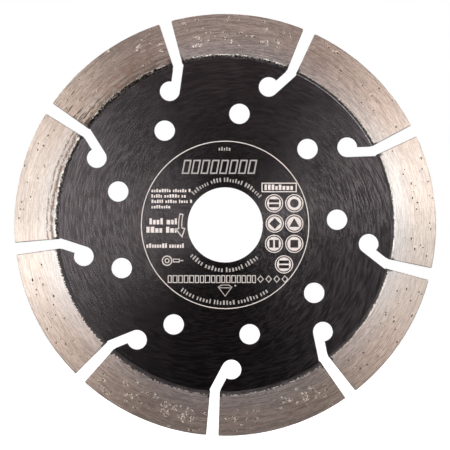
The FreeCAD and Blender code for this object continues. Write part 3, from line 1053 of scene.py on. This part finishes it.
def build_print(rand):
    """The ring, and rows of dashes where the blade's small print stands."""
    ring = Marks()
    ring.ring(0, 0, RING_R + 0.125, RING_R - 0.125, 160)
    ring.object("etched_ring", 0.95)

    text = Marks()
    word_row(text, -1.9, 1.9, 22.0, 23.1, rand, 0.42, 0.36)
    word_arc(text, 12.75, 1.25, 136, 38, rand, 0.42, 0.44)
    word_arc(text, 12.6, 1.4, 222, 319, rand, 0.46, 0.46)
    word_arc(text, 22.4, 1.3, 236, 304, rand, 0.46, 0.5)
    text.object("etched_arc_print", 0.5)

    text = Marks()
    for x1, z in ((-9.8, 9.7), (-11.2, 8.1), (-9.6, 6.5), (-15.6, 4.9)):
        word_row(text, -21.8, x1, z, z + 0.95, rand, 0.5, 0.26)
    word_row(text, -23.3, -12.1, -6.8, -5.5, rand, 0.55, 0.26)
    text.object("etched_small_print", 1.0)

    bold = Marks()
    word_row(bold, -22.4, -14.3, 0.15, 1.95, rand, 0.95, 0.3)
    word_row(bold, -23.3, -14.4, -2.3, -0.55, rand, 0.95, 0.3)
    bold.frame_bar(10.8, 9.7, 21.2, 12.5, 0.28)
    word_row(bold, 11.7, 20.6, 10.35, 11.95, rand, 0.78, 0.34)
    bold.object("etched_size_lines", 1.0)


def build_blocks(rand):
    """Plain hollow blocks, leaning above the bore and upright below it."""
    title = Marks()
    for k in range(8):
        x = -12.9 + 2.78 * k
        title.frame_bar(x, 15.1, x + 2.2, 19.3, 0.42, lean=0.8)
    title.object("etched_title_blocks", 0.46)

    name = Marks()
    x = -17.0
    while x < 8.0:
        width = rand.uniform(1.15, 1.6)
        name.frame_bar(x, -17.2, x + width, -14.9, 0.27)
        x += width + 0.24
    for k in range(4):
        x = 10.5 + 2.4 * k
        name.band([(x, -14.9), (x + 1.0, -16.05), (x, -17.2), (x - 1.0, -16.05)], 0.34)
    name.object("etched_name_blocks", 0.7)


def build_discs():
    """Plain discs, each with a simple figure cut out of it."""
    level_bars = [box_loop(-1.5, 0.22, 1.5, 1.2), box_loop(-1.5, -1.2, 1.5, -0.22)]
    upright_bars = [box_loop(-1.4, -1.15, -0.24, 1.15), box_loop(0.24, -1.15, 1.4, 1.15)]
    round_spot = [circle(0, 0, 1.3, 24)]
    square = [box_loop(-1.15, -1.15, 1.15, 1.15)]
    diamond = [[(0, -1.65), (1.65, 0), (0, 1.65), (-1.65, 0)]]
    triangle = [[(-1.5, -1.0), (1.5, -1.0), (0, 1.6)]]
    figures = [level_bars, round_spot, diamond, triangle, upright_bars, square, level_bars]
    spots = [(14.5, 6.4), (20.5, 6.4), (14.7, 0.4), (20.5, 0.4), (14.5, -5.6), (20.5, -5.6), (17.45, -11.7)]
    discs = Marks()
    for (x, z), figure in zip(spots, figures):
        discs.ring(x, z, 2.69, 2.42)
        discs.dot(x, z, 2.1, 40)
        for loop in figure:
            discs.loops.append([(x + px, z + pz) for px, pz in loop])
    discs.object("etched_discs", 0.95)


def build_arrow():
    """Turning arrow and a small outline of a hand grinder."""
    arrow = Marks()
    outline = (13.9, 12.7, 165.5, 183.5, 14, [(-14.75, -1.3), (-12.7, -3.9), (-11.75, -0.9)])
    hole = (13.62, 12.98, 167, 184.6, 12, [(-14.2, -1.45), (-12.85, -3.2), (-12.2, -1.2)])
    for outer, inner, start, end, count, tip in (outline, hole):
        start, end = math.radians(start), math.radians(end)
        there = arc_points(0, 0, outer, start, end, count)
        arrow.loops.append(there + tip + arc_points(0, 0, inner, end, start, count))
    arrow.ring(-17.2, -10.6, 1.55, 1.2, 32)
    arrow.ring(-17.2, -10.6, 0.75, 0.45, 20)
    arrow.frame_bar(-15.5, -11.1, -13.4, -10.0, 0.27)
    arrow.bar(-13.2, -10.75, -12.4, -10.4)
    arrow.object("etched_arrow", 0.75)


def build_gem():
    """A cut-stone figure where a test mark would be."""
    gem = Marks()
    gem.band([(-2.2, -18.4), (-1.2, -17.7), (1.2, -17.7), (2.2, -18.4), (0, -21.3)], 0.36)
    gem.bar(-1.7, -18.75, 1.7, -18.5)
    gem.dot(3.0, -18.0, 0.28)
    gem.object("etched_gem", 0.5)


mark_rand = np.random.default_rng(5)
build_print(mark_rand)
build_blocks(mark_rand)
build_discs()
build_arrow()
build_gem()

# -------- floor, lights, camera
FLOOR_Z = cad_box[0][2]
FLOOR_GAP = 0.00002
bpy.ops.mesh.primitive_circle_add(
    vertices=96, radius=6.0, fill_type="NGON", location=(0, 0, FLOOR_Z - FLOOR_GAP))
floor = bpy.context.object
floor.name = "floor"
floor.data.materials.append(floor_material())
floor.visible_glossy = False
floor.visible_diffuse = False


def softbox(name, position, width, height, power, colour, aim=None):
    """A rectangular lamp that faces the blade's middle, or points along aim."""
    data = bpy.data.lights.new(name, "AREA")
    data.shape, data.size, data.size_y = "RECTANGLE", width, height
    data.energy, data.color = power, colour
    lamp = add_object(name, data)
    lamp.location = position
    lamp.rotation_euler = (Vector(aim) if aim else -Vector(position)).to_track_quat("-Z", "Y").to_euler()
    lamp.visible_camera = False


NEUTRAL = (1.0, 0.99, 0.98)
COOL = (0.88, 1.01, 0.99)
SIDE_ANGLE = 0.55
SIDE_DISTANCE = 0.75
# Lamps beside the blade: left or right, height of the middle, width, height, power.
SIDE_LAMPS = ((-1, 0.084, 0.54, 0.46, 4.60), (1, 0.158, 0.517, 0.292, 2.8))
# Width, height and power of the others.
FLOOR_LAMP = (0.28, 0.22, 0.087)
OVERHEAD_LAMP = (0.2785, 0.301, 0.322)
EDGE_LAMP = (0.6, 0.6, 3.0)
FLOOR_LAMP_DROP = 0.0003
EDGE_DISTANCE = 0.9
for front in (-1, 1):
    for right, lift, width, height, power in SIDE_LAMPS:
        across = SIDE_DISTANCE * math.sin(SIDE_ANGLE) * right
        where = (across, SIDE_DISTANCE * math.cos(SIDE_ANGLE) * front, lift)
        softbox(f"side_{front}_{right}", where, width, height, power, COOL)
        # Light off the pale floor, which the blade mirrors when it is seen from above.
        where = (0.19 * right, 0.13 * front, FLOOR_Z - FLOOR_LAMP_DROP)
        softbox(f"floor_{front}_{right}", where, *FLOOR_LAMP, NEUTRAL, aim=(0, 0, 1))
    softbox(f"overhead_{front}", (0.033, 0.2125 * front, 0.2145), *OVERHEAD_LAMP, NEUTRAL)
# Light in the blade's own plane reaches its rim and slot walls and hardly touches its faces.
for right, up in ((-1, 0), (1, 0), (0, -1), (0, 1)):
    softbox(f"edge_{right}_{up}", (EDGE_DISTANCE * right, 0, EDGE_DISTANCE * up), *EDGE_LAMP, NEUTRAL)

world = bpy.data.worlds.new("white_room")
scene.world = world
world.use_nodes = True
background = world.node_tree.nodes["Background"]
background.inputs["Color"].default_value = (1, 1, 1, 1)
background.inputs["Strength"].default_value = 1.0
world.cycles_visibility.glossy = False
world.cycles_visibility.diffuse = False

DISTANCE = 1.3
VIEW_WIDTH = 0.13331  # what the picture spans, at the core's front face
SENSOR_WIDTH = 36
SHIFT = -0.00003  # the blade sits this far off the middle of the photo
camera_data = bpy.data.cameras.new("camera")
camera_data.sensor_width = SENSOR_WIDTH
camera_data.lens = SENSOR_WIDTH * (DISTANCE - CORE_HALF * MM) / VIEW_WIDTH
camera_data.clip_end = 50
camera = add_object("camera", camera_data)
camera.location = (SHIFT, -DISTANCE, SHIFT)
camera.rotation_euler = (math.pi / 2, 0, 0)
scene.camera = camera
scene.view_settings.view_transform = "Standard"
